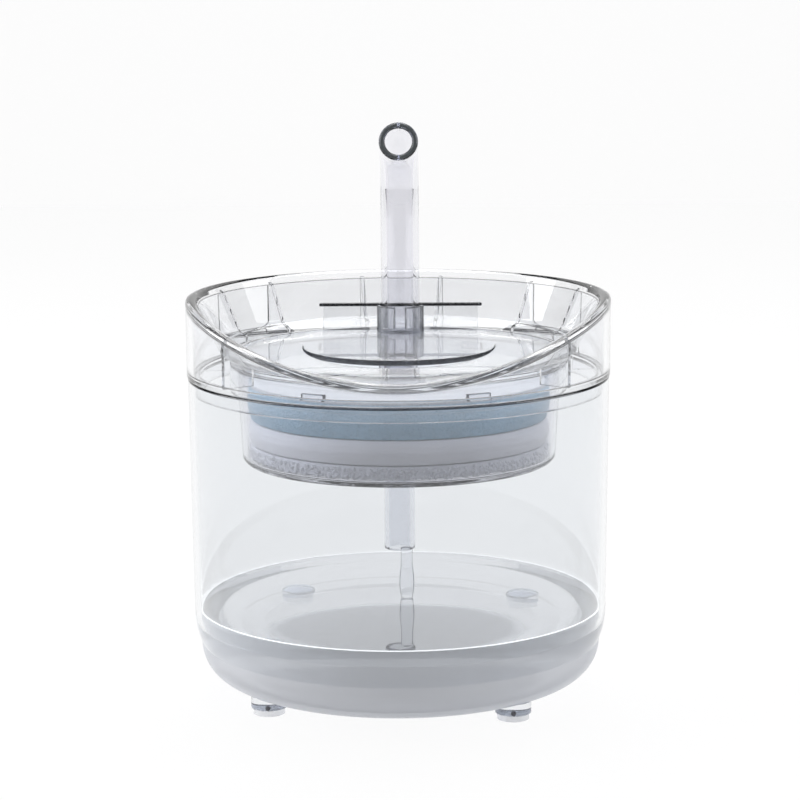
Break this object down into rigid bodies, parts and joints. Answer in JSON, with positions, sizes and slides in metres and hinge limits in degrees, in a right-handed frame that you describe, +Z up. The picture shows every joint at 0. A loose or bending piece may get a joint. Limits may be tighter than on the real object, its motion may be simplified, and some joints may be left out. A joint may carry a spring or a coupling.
{
  "type": "pet water fountain",
  "caption": "Clear round pet water fountain with a dipped-rim drinking collar, bent spout tube, crescent drain plate and hanging filter basket with blue sponge.",
  "frame": {"origin": "centre of the footprint on the surface that the four feet stand on", "axes": "+Z up along the tank's axis, -Y to the front where the rim dips and the spout points, +X to the right seen from the front"},
  "size_m": [0.1608, 0.1608, 0.2162],
  "materials": {
    "tank_clear": "clear moulded plastic",
    "foot_pad": "clear soft pad",
    "collar_clear": "clear moulded plastic",
    "plate_clear": "clear moulded plastic",
    "duct_clear": "clear moulded plastic",
    "riser_clear": "clear moulded plastic",
    "spout_clear": "clear moulded plastic",
    "seal_clear": "clear silicone",
    "basket_clear": "clear moulded plastic",
    "sponge_blue": "open blue foam",
    "cotton_grey": "grey-white fibre pad",
    "granules_grey": "granules in a fleece bag",
    "water": "clear water"
  },
  "bodies": {
    "base": {"tank": "tank_clear", "foot_front_left": "foot_pad", "foot_front_right": "foot_pad", "foot_rear_left": "foot_pad", "foot_rear_right": "foot_pad", "water_pool": "water"},
    "collar": {"collar": "collar_clear"},
    "cover": {"cover_plate": "plate_clear", "cross_duct": "duct_clear", "riser_pipe": "riser_clear", "riser_seal": "seal_clear", "water_stream": "water"},
    "spout": {"spout_tube": "spout_clear", "spout_seal": "seal_clear"},
    "basket": {"filter_basket": "basket_clear", "filter_granules": "granules_grey", "filter_cotton": "cotton_grey", "filter_sponge": "sponge_blue"}
  },
  "joints": [
    {"name": "collar_lift", "type": "slide", "parent": "base", "child": "collar", "axis": [0, 0, 1], "range_m": [0, 0.07]},
    {"name": "cover_lift", "type": "slide", "parent": "collar", "child": "cover", "axis": [0, 0, 1], "range_m": [0, 0.05]},
    {"name": "spout_swivel", "type": "hinge", "parent": "cover", "child": "spout", "pos_m": [0, 0.0485, 0.14], "axis": [0, 0, 1], "range_deg": [-60, 60]},
    {"name": "basket_bayonet", "type": "hinge", "parent": "collar", "child": "basket", "pos_m": [0, 0, 0.1244], "axis": [0, 0, 1], "range_deg": [0, 24]}
  ]
}
